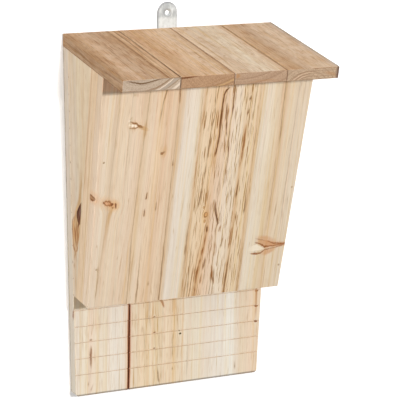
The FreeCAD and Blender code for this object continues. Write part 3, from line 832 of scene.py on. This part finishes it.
backPlanks = {
    "back_plank_narrow": {
        "seed": 5, "pith": (-40, -70), "pitch": 4.4, "sway": 8, "climb": 0.02,
        "tones": [(-121, 222, 200, 178), (-106, 230, 214, 194), (-97, 234, 218, 194), (-92, 231, 208, 184),
                  (-86, 233, 214, 189), (-74, 233, 218, 198), (-56, 232, 218, 200), (-49.4, 230, 208, 186),
                  (-48.4, 190, 134, 102), (-47.6, 140, 82, 54)],
        "streaks": [
            # a grey line along the rear edge of the board's side face: painted shade, the contact shadow
            # against the wall
            ("edge", (150, 140, 128),
             [(-2, 12.4, 1.3, 0.6), (200, 12.4, 1.4, 0.75), (372, 12.4, 1.5, 0.75)]),
            ("edge", (166, 116, 82),
             [(82, 1.5, 0.6), (87, 2.4, 1.8, 0.8), (93, 1.2, 1.8, 0.8), (99, 0, 0.8)]),
            ("thin", (150, 104, 72),
             [(28, -90.6, 0.4), (34, -90.8, 0.9, 0.7), (44, -91, 1.3, 0.9), (50, -91, 0.9, 0.8),
              (55, -90.8, 0.4)],
             [(58.5, -91, 0.6), (60.2, -91, 1.4, 0.8), (62, -91, 0.6)],
             [(3, -90.2, 0.4), (6, -90, 0.6, 0.5), (13, -87.6)],
             [(9, -93.2), (12, -93.4, 0.5, 0.5), (16, -93.2)]),
            ("wide", (214, 172, 124),
             [(64, -85.6), (72, -85.4, 0.6, 0.5), (94, -85.8, 0.4, 0.4), (110, -86)],
             [(66, -81.4, 0.2), (74, -81.4, 0.6, 0.4), (82, -81.6)],
             [(25, -86, 0.4), (40, -86.6, 0.5, 0.4), (56, -86.8)]),
        ],
    },
    "back_plank_wide": {
        "seed": 6, "pith": (-10, -90), "pitch": 4.0, "sway": 9, "climb": -0.02,
        "tones": [(-46.4, 140, 82, 54), (-45.8, 190, 134, 102), (-44.8, 230, 207, 180),
                  (-38, 228, 208, 180), (-32, 231, 206, 174), (-27, 228, 203, 168), (-22, 232, 210, 181),
                  (-14, 227, 205, 174), (-3, 230, 207, 178), (2, 228, 203, 171), (6, 229, 203, 168),
                  (11, 226, 203, 173), (20, 231, 214, 190), (34, 231, 216, 193), (46, 229, 213, 193),
                  (60, 231, 218, 201), (76, 235, 225, 209), (82, 230, 212, 190), (86, 227, 206, 178),
                  (100, 231, 206, 179), (112, 228, 204, 176)],
        "dash": [(-47, 0.5), (-42, 0.8), (10, 0.8), (18, 0.4), (36, 0.15), (80, 0.15), (90, 0.35),
                 (122, 0.4)],
        "streaks": [
            ("thin", streakBrown,
             [(2, -11.2), (6, -11.4, 0.5, 0.7), (14, -12.2, 0.5, 0.7), (22, -13)],
             [(14, 4.6), (17, 4.8, 0.6, 0.6), (20, 4.8)],
             [(2, 21.8, 0.2), (20, 22.2, 0.4, 0.5), (40, 22, 0.3, 0.3), (78, 22, 0.2)],
             [(6, 80.4), (10, 80.2, 0.5, 0.6), (17, 79.8)],
             [(60, -32), (66, -31.6, 0.5, 0.4), (70, -31.6)],
             [(28, 4.2), (33, 4.6, 0.5, 0.5), (40, 4.2, 0.4, 0.3), (56, 4.6, 0.4, 0.4), (60, 4.6)],
             [(30, -28), (52, -28.6, 0.4, 0.35), (70, -29)],
             [(66, -23.6), (76, -23.8, 0.5, 0.4), (96, -24, 0.4, 0.3), (110, -24)]),
            ("thin", (172, 112, 62),
             [(85, -6.6, 0.4), (88, -7.2, 0.8, 0.8), (92, -8.6, 1.2, 0.8), (95, -10.4, 1.6, 0.6),
              (97, -11, 0.5)]),
            ("thin", (190, 136, 84),
             [(56, 104.6, 0.4), (76, 105, 0.7, 0.7), (92, 104.6, 1, 0.8), (110, 104.6, 0.8, 0.5)]),
            ("wide", (216, 168, 112),
             [(2, 5.5, 0.8, 0.1), (30, 5.4, 1, 0.15), (44, 5.6, 0.8, 0.1), (58, 5.8, 1, 0.15),
              (70, 6, 0.8, 0.1), (84, 5.6, 1.4, 0.5), (94, 6.2, 1, 0.4)],
             [(4, -25, 1, 0.25), (30, -25.2, 0.9, 0.1), (50, -25.4, 1.2, 0.3), (70, -25.4, 0.9, 0.1),
              (96, -25.4, 1.1, 0.35)],
             [(20, -19, 0.3, 0.2), (60, -19.4, 0.5, 0.5), (96, -19.6, 0.4, 0.5)],
             [(2, 16.6, 0.3, 0.3), (50, 16.4, 0.4, 0.4), (96, 16.2, 0.3, 0.4)],
             [(2, -36, 0.3, 0.2), (96, -36.6, 0.5, 0.5)]),
        ],
        "knots": [
            knotAt(13.2, 55, 1.4, 1, tarKnot, halo=1.6, glow=0.3),
            knotAt(12.2, 58.2, 0.9, 0.7, tarKnot, halo=1.6, glow=0.3, strength=0.6),
            knotAt(-17.4, 59.6, 1.3, 0.8, darkKnot, halo=1.5, glow=0.3, strength=0.8),
            knotAt(-17.2, 42.2, 1.3, 0.8, darkKnot, halo=1.5, glow=0.3, strength=0.8),
            knotAt(-17.6, 77, 1.4, 0.9, darkKnot, halo=1.5, glow=0.3, strength=0.6),
            knotAt(105, 75.2, 2, 1, darkKnot, halo=1.8, glow=0.3),
            knotAt(105, 58, 2, 1, darkKnot, halo=1.8, glow=0.3),
            knotAt(105, 92.4, 2, 1, darkKnot, halo=1.8, glow=0.3, strength=0.8),
        ],
    },
}

sideBoards = {
    "side_left_board": {
        "seed": 7, "pith": (60, 50), "pitch": 7.0, "sway": 14, "climb": 0.05,
        "tones": [(-64, 220, 204, 180), (-36, 216, 196, 171), (-24, 219, 203, 180), (-14, 211, 195, 176),
                  (-4, 213, 194, 173), (3, 219, 203, 184)],
        "streaks": [
            ("wide", (206, 166, 118),
             [(140, -6, 1), (160, -7.6, 4, 0.6), (174, -9.6, 6.6, 0.8), (190, -11.5, 6.8, 0.8),
              (204, -16, 6, 0.7), (218, -21.5, 4, 0.6), (245, -26, 3, 0.4), (280, -29, 1.5)],
             [(96, -6, 1, 0.2), (120, -6.4, 2, 0.4), (146, -7, 2.4, 0.4), (160, -8, 1)],
             [(112, -18, 2, 0.3), (150, -18, 2, 0.3), (190, -20, 2)]),
            ("thin", (176, 118, 70),
             [(170, -9.5, 0.5), (173.2, -6.8, 0.8, 0.8), (180, -4, 0.9, 0.9), (188, -4.2, 0.8, 0.9),
              (196, -8, 0.7, 0.7), (205, -13, 0.6)],
             [(168, -13.4, 0.5), (174, -15.4, 0.8, 0.8), (183, -17.4, 0.9, 0.9), (190, -17.3, 0.9, 0.9),
              (197, -15.8, 0.6)],
             [(172, -10.5, 0.4), (180, -9.6, 0.7, 0.7), (190, -11, 0.6, 0.6), (197, -13, 0.4)],
             [(159, -7.5, 1.2), (161, -10.8, 1, 0.8), (165, -12.6, 0.8, 0.8), (169, -10.6, 0.8)],
             [(159, -7.5, 1.2), (161, -4.4, 1, 0.8), (165, -2.8, 0.8, 0.8), (169, -5, 0.8)]),
            ("thin", (160, 104, 58),
             [(162, -3.4, 0.6), (168, -2.2, 0.8, 0.7), (176, -1.6, 0.9, 0.9), (186, -1.2, 1, 0.9),
              (192, -2.2, 0.8, 0.8), (198, -6.8, 0.6)],
             [(164, -9.6, 0.6), (170, -8.6, 1, 0.7), (178, -8.2, 1.6, 0.9), (184, -6.6, 1.2, 0.9),
              (189, -5, 0.6)],
             [(163, -10.6, 0.6), (170, -11.8, 1.2, 0.7), (176, -13.6, 1, 0.8), (184, -12.6, 1.2, 0.9),
              (191, -11, 0.6)],
             [(148, -4.4, 1), (154, -5.2, 1.2, 0.5), (158, -6.8, 1.8, 0.45), (162, -5, 1.4, 0.6),
              (166, -6, 0.5)],
             [(139, -3.4, 0.6), (144, -3.8, 1, 0.5), (149, -4.8, 0.6)]),
            ("wide", (190, 146, 94),
             [(206, -16.6, 0.5), (212, -18.6, 1.4, 0.7), (220, -22, 2.2, 0.6), (236, -26, 1.8, 0.5),
              (250, -28, 0.8)]),
            ("wide", (230, 184, 134),
             [(166, -5, 0.4), (174, -5, 1, 0.6), (182, -3.6, 1.2, 0.7), (190, -4.4, 1.2, 0.7),
              (196, -7, 0.5)],
             [(196, -8, 0.5), (202, -9.4, 1.2, 0.6), (208, -14, 1, 0.6), (213, -17, 0.4)]),
            ("wide", (134, 82, 46),
             [(183, -14, 0.4), (188, -14.6, 1.2, 0.8), (192, -18.4, 2.2, 0.95), (198, -17.8, 4.4, 1),
              (204, -18.6, 4.6, 1), (210, -21.8, 2.2, 0.95), (216, -25, 0.4)]),
            ("thin", (92, 52, 34),
             [(188, -16.6, 0.4), (192, -18.2, 1.2, 0.8), (197, -17.6, 3.4, 0.9), (204, -18.6, 3.8, 0.9),
              (209, -21.4, 1.8, 0.9), (214, -24.4)]),
            ("thin", (66, 28, 10),
             [(190, -17, 0.4), (194, -14.4, 0.9, 0.7), (198, -13.4, 1, 0.8), (203, -14.4, 1.2, 0.95),
              (208, -18.4, 1.4, 1), (212, -22.2, 1, 1), (216, -25.6)]),
            ("wide", (128, 104, 92),
             [(198, -19.8, 0.4), (202, -20.4, 1.4, 0.6), (207, -22, 1.3, 0.7), (211, -23.4, 0.4)]),
        ],
        "knots": [
            knotAt(-14, 190, 6, 15, turn=20, halo=2.2, glow=0.6),
        ],
    },
    "side_left_strip": {
        "lie": "strip", "seed": 8, "pith": (-30, 60), "pitch": 6.0, "sway": 10, "climb": 0.03,
        "tones": [(13, 224, 199, 171), (19, 220, 196, 168), (25, 222, 197, 169), (29, 217, 192, 162),
                  (35, 212, 187, 156), (44, 218, 196, 168), (60, 216, 192, 164)],
        "streaks": [
            ("thin", (186, 146, 108),
             [(218, 27), (240, 27, 0.8, 0.5), (300, 27, 1.4, 0.4), (350, 27, 0.6, 0.2)],
             [(110, 17, 0.2), (200, 18, 0.4, 0.4), (340, 18, 0.3, 0.3)]),
        ],
    },
    "side_right_board": {
        "seed": 9, "pith": (70, 60), "pitch": 6.0, "sway": 14, "climb": -0.04,
        "tones": [(-64, 222, 204, 180), (-36, 219, 196, 167), (-20, 223, 203, 176), (3, 218, 194, 164)],
        "knots": [
            knotAt(-22, 262, 4.5, 6.5, darkKnot, turn=12, halo=3),
        ],
    },
    "side_right_strip": {
        "lie": "strip", "seed": 10, "pith": (-40, 50), "pitch": 5.5, "sway": 10, "climb": 0.03,
        "tones": [(13, 222, 198, 170), (25, 217, 190, 160), (44, 221, 199, 171), (60, 217, 193, 164)],
    },
}

# the planks' tones darken at each right edge, painted shade on the chamfer turned away from the light over
# the seams' own darkness; planks 2 to 4 start with a lighter band at the left edge, a painted highlight on
# the chamfer turned to the light
roofPlanks = {
    "roof_plank_1": {
        "seed": 11, "pith": (-100, -36), "pitch": 5.2, "sway": 16, "climb": 0.10, "late": 0.5,
        "dash": [(-122, 1), (-60, 0.9)], "fleck": 0.7, "blotch": 1, "mottle": 0.58,
        "end": [(176, 153, 133), (206, 187, 164)],
        "tones": [(-121, 164, 126, 88), (-118, 178, 143, 108), (-112, 192, 158, 124), (-104, 205, 173, 142),
                  (-94, 194, 163, 133), (-83, 188, 155, 123), (-73.4, 192, 160, 128), (-71.6, 160, 124, 91),
                  (-70.6, 160, 124, 91), (-69, 204, 172, 138), (-60.6, 198, 164, 128),
                  (-59.2, 168, 130, 94), (-57.6, 134, 96, 60)],
        "streaks": [
            ("ring", (176, 160, 144),
             [(-82, 13, 1, 0.4), (-76, 11, 1.7, 0.8), (-70, 7, 1.9, 0.9), (-64, 2.8, 1.9, 0.9),
              (-60, 0, 1.4, 0.8)]),
            ("ring", (232, 214, 194),
             [(-87, 12.8, 0.4), (-80, 11, 0.55, 0.9), (-74.5, 7.6, 0.6, 0.95), (-69.5, 4, 0.6, 0.95),
              (-66, 1, 0.6, 0.9), (-64.6, 0, 0.5, 0.8)],
             [(-68, 13, 0.8, 0.3), (-63, 10.4, 1.4, 0.9), (-58, 6.4, 1.6, 0.9)]),
            ("ring", (146, 114, 84),
             [(-101, 12.2, 0.5), (-92, 11.6, 0.8, 0.6), (-84, 9.9, 0.9, 0.8), (-78, 6.9, 0.9, 0.85),
              (-72.4, 3.2, 0.9, 0.85), (-68.6, 0.2, 0.8, 0.7)],
             [(-76, 12.8, 0.3, 0.2), (-70, 9.6, 0.45, 0.8), (-64, 5.2, 0.45, 0.8), (-59, 1.6, 0.45, 0.7)],
             [(-118, 11.4, 0.5), (-112, 11.6, 0.8, 0.6), (-104, 12, 0.6, 0.4), (-98, 12.4, 0.5)]),
            ("ring", (110, 82, 54),
             [(-118, 0.8, 0.4), (-112, 1.8, 0.6, 0.9), (-106, 3.2, 0.7, 0.95), (-101, 4.3, 0.8, 1),
              (-96, 4, 0.7, 0.95), (-90, 2.9, 0.6, 0.95), (-84, 1.6, 0.6, 0.9), (-77, 0.2, 0.4, 0.6)],
             [(-58.7, 6, 0.2), (-58.2, 6, 8, 0.85), (-57.2, 6, 8, 0.9)]),
            ("thin", (142, 106, 72),
             [(-70, -64.8, 0.3, 0.3), (-50, -63.8, 0.4, 0.5), (-30, -64.6, 0.3, 0.2), (0, -64.8, 0.4, 0.5),
              (20, -63.9, 0.6, 0.8), (52, -63.8, 0.7, 0.85), (76, -64.6, 0.6, 0.8)]),
            ("thin", (98, 64, 34),
             [(-70, -58.6, 0.8, 0.9), (-44, -58.8, 0.6, 0.8), (-14, -58.6, 0.4, 0.4), (16, -58.4, 0.3, 0.3),
              (76, -58.6, 0.3, 0.3)]),
            ("edge", (126, 86, 54),
             [(-70, 12.4, 0.5, 0.8), (0, 12.2, 0.5, 0.7), (76, 12.2, 0.5, 0.6)],
             [(-66, 3.6), (-50, 4.2, 0.7, 0.5), (-30, 5.6, 0.9, 0.5), (-8, 6.4, 0.4)],
             [(-20, 8.6, 0.4), (4, 8, 1, 0.5), (30, 6.4, 1.2, 0.55), (60, 6.8, 0.8, 0.4), (74, 7, 0.4)],
             [(-40, 10), (-24, 9.6, 0.7, 0.5), (-10, 9.8)]),
        ],
    },
    "roof_plank_2": {
        "seed": 12, "pith": (20, -60), "pitch": 6.5, "sway": 14, "climb": -0.08, "late": 0.35,
        "end": [(160, 122, 90), (196, 160, 127)], "endLate": 0.25,
        "tones": [(-57.6, 216, 182, 144), (-54, 200, 164, 128), (-36, 203, 168, 132), (-28, 213, 181, 149),
                  (-18, 215, 186, 156), (-9, 210, 180, 148), (-1.2, 200, 168, 134), (0, 170, 132, 96),
                  (1.6, 134, 96, 60)],
        "streaks": [
            ("ring", (108, 60, 30),
             [(-57, 1.5, 0.8, 0.95), (-50, 1.1, 0.8, 0.95), (-44, 0.7, 0.5, 0.9), (-34, 0)],
             [(-58, 6, 8, 0.9), (-57, 6, 8, 0.85), (-56.5, 6, 0.2)],
             [(0.5, 6, 0.2), (1, 6, 8, 0.8), (1.8, 6, 8, 0.85)]),
            ("ring", (156, 116, 78),
             [(-28, 13, 0.5, 0.2), (-14, 9.6, 0.7, 0.6), (-2, 5.2, 0.6, 0.6), (2, 3.6, 0.5, 0.5)],
             [(-14, 13, 0.5, 0.3), (-6, 10.8, 0.6, 0.7), (2, 7.8, 0.5, 0.6)],
             [(-40, 12, 0.4), (-24, 8.4, 0.5, 0.4), (-8, 3.4, 0.5, 0.4), (0, 1, 0.4)]),
            ("ring", (206, 168, 116),
             [(-20, 12.8, 0.6, 0.3), (-10, 10.6, 0.8, 0.6), (0, 6.4, 0.8, 0.6)]),
        ],
    },
    "roof_plank_3": {
        "seed": 13, "pith": (10, -80), "pitch": 7.0, "sway": 12, "climb": 0.06, "late": 0.3,
        "end": [(170, 137, 110), (196, 167, 140)],
        "tones": [(1.6, 226, 196, 162), (5, 213, 186, 156), (15, 207, 182, 154), (25, 214, 192, 165),
                  (38, 219, 200, 174), (50, 217, 194, 167), (57.8, 206, 176, 144), (59.2, 170, 132, 94),
                  (60.8, 134, 96, 60)],
        "streaks": [
            ("ring", (112, 72, 40),
             [(59.7, 6, 0.2), (60.1, 6, 8, 0.8), (61, 6, 8, 0.85)]),
            ("ring", (182, 132, 84),
             [(2.6, 3, 1.4, 0.3), (4, 3, 2.2, 0.8), (6.4, 3, 1.4, 0.6), (7.6, 3, 0.6)],
             [(14, 11.4, 0.4), (28, 9.6, 0.6, 0.4), (42, 9.2, 0.6, 0.4), (54, 10.6, 0.4)]),
        ],
    },
    "roof_plank_4": {
        "seed": 14, "pith": (86, 26), "pitch": 3.6, "sway": 10, "climb": 0.08, "late": 0.45,
        "end": [(168, 140, 114), (208, 182, 154)],
        "tones": [(60.8, 214, 180, 142), (64, 198, 164, 130), (75, 192, 160, 128), (84, 197, 168, 138),
                  (93, 211, 184, 155), (106, 211, 185, 156), (115, 203, 177, 150), (117.6, 190, 168, 146),
                  (119.4, 150, 130, 112), (121, 146, 126, 108)],
        "streaks": [
            ("ring", (148, 112, 82),
             [(64, 12.6, 0.4, 0.4), (68, 9.4, 0.5, 0.7), (74, 5.8, 0.5, 0.7), (82, 3.4, 0.5, 0.6),
              (92, 3, 0.4, 0.3)],
             [(69, 12.8, 0.4, 0.4), (73, 9.8, 0.5, 0.7), (78, 7.2, 0.5, 0.7), (86, 5.6, 0.5, 0.6),
              (94, 6, 0.3, 0.2)],
             [(74, 13, 0.4, 0.4), (78, 10.2, 0.5, 0.7), (84, 8.6, 0.5, 0.6), (90, 8.8, 0.3, 0.3)]),
            ("ring", (182, 138, 98),
             [(100, 5, 0.6), (108, 6, 1.6, 0.5), (115, 8, 1.4, 0.6), (118, 9, 0.5)]),
            ("ring", (150, 114, 80),
             [(87, 0.2), (92, 0.5, 0.6, 0.8), (104, 0.3, 0.5, 0.8), (117, 0.2, 0.4, 0.6)]),
            ("ring", (218, 190, 162),
             [(66, 12.8, 0.4, 0.3), (70.5, 9.6, 0.5, 0.6), (76, 6.4, 0.5, 0.6), (84, 4.4, 0.5, 0.5),
              (93, 4.4)],
             [(72, 12.8, 0.4, 0.3), (75.5, 10, 0.5, 0.6), (81, 7.8, 0.5, 0.6), (88, 7)]),
            ("ring", (88, 60, 50),
             [(115.5, 6, 0.2), (117.4, 6.5, 6, 0.5), (119, 6.5, 7, 0.95), (121, 6.5, 7, 1)]),
        ],
    },
}

usualPine = {
    "gold": 0.7, "rose": 0.5, "hair": 0.5, "fleck": 0.30, "fibre": 0.14, "threads": 0.26, "mottle": 0.06,
    "blotch": 0.15, "level": 1.03, "dashLimits": (0.55, 0.67), "endLate": 0.6, "knots": [], "streaks": [],
}
usual = {
    "front": {"lie": "front", "cloud": 0.35, "late": 0.22, "fleck": 0.35, "fibre": 0.16, "threads": 0.30,
              "wash": (1.01, 1.05, 1.10, 1), "dash": [(-122, 0.22), (122, 0.22)],
              # eaves: a warm painted bounce light across the top of the front staves, in the roof's shadow;
              # flank: painted light on the staves' edge faces
              "dashTone": (0.62, 0.45, 0.27, 1), "eaves": (336, 341), "flank": (1.10, 1.10, 1.12, 1),
              "end": [(186, 154, 122), (216, 188, 156)]},
    "back": {"lie": "back", "cloud": 0.30, "late": 0.20,
             "wash": (1.03, 1.08, 1.14, 1), "dash": [(-122, 0.35), (122, 0.35)],
             # foot: a painted shade line along the bottom edge; inside: painted light lifting the box's
             # shadow on the back planks' front face from just below the front's foot upward
             "dashTone": (0.74, 0.58, 0.38, 1), "foot": (2.4, 1), "inside": (94, 97),
             "flank": (0.955, 0.985, 1, 1), "end": [(190, 158, 126), (218, 192, 162)]},
    "side": {"lie": "side", "cloud": 0.35, "gold": 0.8, "rose": 0.4, "late": 0.26, "hair": 0.45,
             "mottle": 0.10, "level": 1.10, "blotch": 0.30,
             "wash": (1.07, 1.08, 1.07, 1), "dash": [(-122, 0.3), (122, 0.3)],
             "dashTone": (0.60, 0.43, 0.25, 1), "end": [(178, 148, 118), (208, 180, 150)]},
    "roof": {"lie": "roof", "cloud": 0.45, "gold": 0.8, "late": 0.40, "hair": 0.7, "fleck": 0.35,
             "fibre": 0.24, "threads": 0.34, "mottle": 0.46, "level": 1.175, "blotch": 0.8,
             "wash": (0.97, 1, 1.06, 1), "dash": [(-122, 0.7), (122, 0.7)],
             # flank: painted light, a paler and cooler tint on the planks' side faces; sill: a painted
             # shade line along the lower edge of the roof ends
             "dashTone": (0.66, 0.52, 0.38, 1), "flank": (1.12, 1.25, 1.5, 1), "sill": (11.3, 12.6),
             "end": [(170, 134, 102), (200, 168, 136)], "endLate": 0.8},
}


# boards: each packed board is dressed with eased edges

boardWear = {
    "front": 0.0006, "back": 0.00025, "side": 0.0006, "roof": 0.0005,
    "shortest": 0.006,     # metres, edges shorter than this stay sharp
}

edgeCare = {
    "rows": 2,
    "weld": 1e-6,          # metres between corners that are one
    "flat": 0.4,           # degrees between faces that are one
    "sharp": 40,
    "touching": 0.0001,    # metres between glued neighbours' corners
}


def pieceName(node):
    first, *others = node.split("_")
    return first + "".join(word.capitalize() for word in others)


def mergedCopy(node):
    mesh = bmesh.new()
    mesh.from_mesh(cadNodes[node].data)
    bmesh.ops.remove_doubles(mesh, verts=mesh.verts, dist=edgeCare["weld"])
    flat = math.radians(edgeCare["flat"])
    bmesh.ops.dissolve_limit(mesh, angle_limit=flat, verts=mesh.verts, edges=mesh.edges)
    return mesh


def sharpEdges(mesh, shortest, beside=()):
    # the long sharp edges, but not those shared with a glued neighbour
    corners = [vertex.co for name in beside for vertex in cadNodes[name].data.vertices]
    near = KDTree(max(len(corners), 1))
    for number, corner in enumerate(corners):
        near.insert(corner, number)
    near.balance()

    def shared(vertex):
        return bool(corners) and near.find(vertex.co)[2] < edgeCare["touching"]

    return [
        edge for edge in mesh.edges
        if edge.calc_length() > shortest
        and edge.calc_face_angle(0) > math.radians(edgeCare["sharp"])
        and not (shared(edge.verts[0]) and shared(edge.verts[1]))
    ]


def easeEdges(mesh, edges, width):
    bmesh.ops.bevel(mesh, geom=edges, offset=width, offset_type="OFFSET", affect="EDGES",
                    segments=edgeCare["rows"], profile=0.5, material=-1)


def placed(mesh, node, material, slotName):
    piece = linked(mesh, pieceName(node), material)
    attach(piece, "root")
    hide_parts(node)


def dressBoard(node, kind, board, beside):
    mesh = mergedCopy(node)
    easeEdges(mesh, sharpEdges(mesh, boardWear["shortest"], beside), boardWear[kind])
    pine = pineFinish(pieceName(node) + "Pine", {**usualPine, **usual[kind], **board})
    placed(mesh, node, pine, kind + "_wood")


allBoards = {"front": frontStaves, "back": backPlanks, "side": sideBoards, "roof": roofPlanks}
for kind, boards in allBoards.items():
    for node, board in boards.items():
        dressBoard(node, kind, board, [other for other in boards if other != node])
    print("the", kind, "boards are dressed")


# steel: the galvanised hanger, its screws and the nails

hangerLook = {
    "edge": 0.0003, "pale": (219, 222, 221), "dull": (200, 203, 201), "rim": (120, 118, 116),
    "spangles": 380,       # per metre
    "cap": (-0.0070, -0.0030),    # metres up, where the top darkens
    "capTone": (0.66, 0.67, 0.69, 1),
    "ringAt": 0.0041,      # metres from the hole's middle
    "border": (0.0090, 0.0106),
    "borderTone": (0.70, 0.70, 0.72, 1),
    "metal": 0.25,
    "bump": (0.12, 0.0001),
}
nailLook = {
    "bright": (214, 190, 158), "dull": (170, 138, 104), "stains": 900, "metal": 0.25, "bump": (0.3, 0.0002),
}
fillerLook = {
    "pale": (206, 172, 136), "dull": (170, 132, 98), "grit": 1400, "gloss": 0.12, "bump": (0.3, 0.0002),
}


def hangerFinish(look):
    # zinc: pale and nearly plain, dull round the hole and along the cut edge
    finish = newFinish("galvanisedSteel")
    x, y, z = finish.place()
    cells = {"Vector": finish.join(x, y, z), "Scale": look["spangles"]}
    spangle = finish.split(finish.add("TexVoronoi", {"feature": "F1"}, cells, "Color"))[0]
    smear = finish.noise(x * 260, y * 260, z * 120, 3)
    amount = finish.step(spangle * 0.3 + smear, 0.3, 0.95)
    colour = finish.mix(amount, ink(*look["dull"]), ink(*look["pale"]))
    cap = finish.step(z, *look["cap"]) * finish.step(smear, 0.75, 0.35)
    colour = finish.tint(cap, colour, look["capTone"])
    fromHole = (x * x + z * z) ** 0.5 + (smear - 0.5) * 0.0008
    ring = finish.step(abs(fromHole - look["ringAt"]), 0.0011, 0.0002) * finish.step(y, -0.0008, -0.0016)
    colour = finish.mix(ring * 0.35, colour, ink(*look["rim"]))
    outer = finish.sum("MAXIMUM", z, 0)
    border = finish.step((x * x + outer * outer) ** 0.5, *look["border"])
    colour = finish.tint(border, colour, look["borderTone"])
    side = finish.step(abs(finish.facing()[1]), 0.8, 0.3)
    colour = finish.mix(side * 0.6, colour, ink(*look["rim"]))
    roughness = 0.46 + spangle * 0.06 + smear * 0.08
    return finish.cover(colour, roughness, spangle * 0.2 + smear, look["bump"], {"Metallic": look["metal"]})


def nailFinish(look):
    finish = newFinish("nailSteel")
    stain = finish.noise(*[along * look["stains"] for along in finish.place()], 3)
    colour = finish.mix(finish.step(stain, 0.35, 0.7), ink(*look["dull"]), ink(*look["bright"]))
    return finish.cover(colour, 0.35 + stain * 0.3, stain, look["bump"], {"Metallic": look["metal"]})


def fillerFinish(look):
    # the roof nails' heads are coloured like wood filler
    finish = newFinish("woodFiller")
    grit = finish.noise(*[along * look["grit"] for along in finish.place()], 3)
    colour = finish.mix(finish.step(grit, 0.3, 0.7), ink(*look["dull"]), ink(*look["pale"]))
    gloss = {"Specular IOR Level": look["gloss"]}
    return finish.cover(colour, 0.75 + grit * 0.15, grit, look["bump"], gloss)


def dressHanger(look):
    mesh = mergedCopy("hanger_plate")
    easeEdges(mesh, sharpEdges(mesh, 0), look["edge"])
    placed(mesh, "hanger_plate", hangerFinish(look), "hanger_steel")


dressHanger(hangerLook)
nailSteel = nailFinish(nailLook)
filler = fillerFinish(fillerLook)
for node in ("front_nails", "back_nails", "roof_nails", "hanger_screws"):
    cadNodes[node].data.materials.clear()
    cadNodes[node].data.materials.append(filler if node == "roof_nails" else nailSteel)
print("the hanger and nails are dressed")
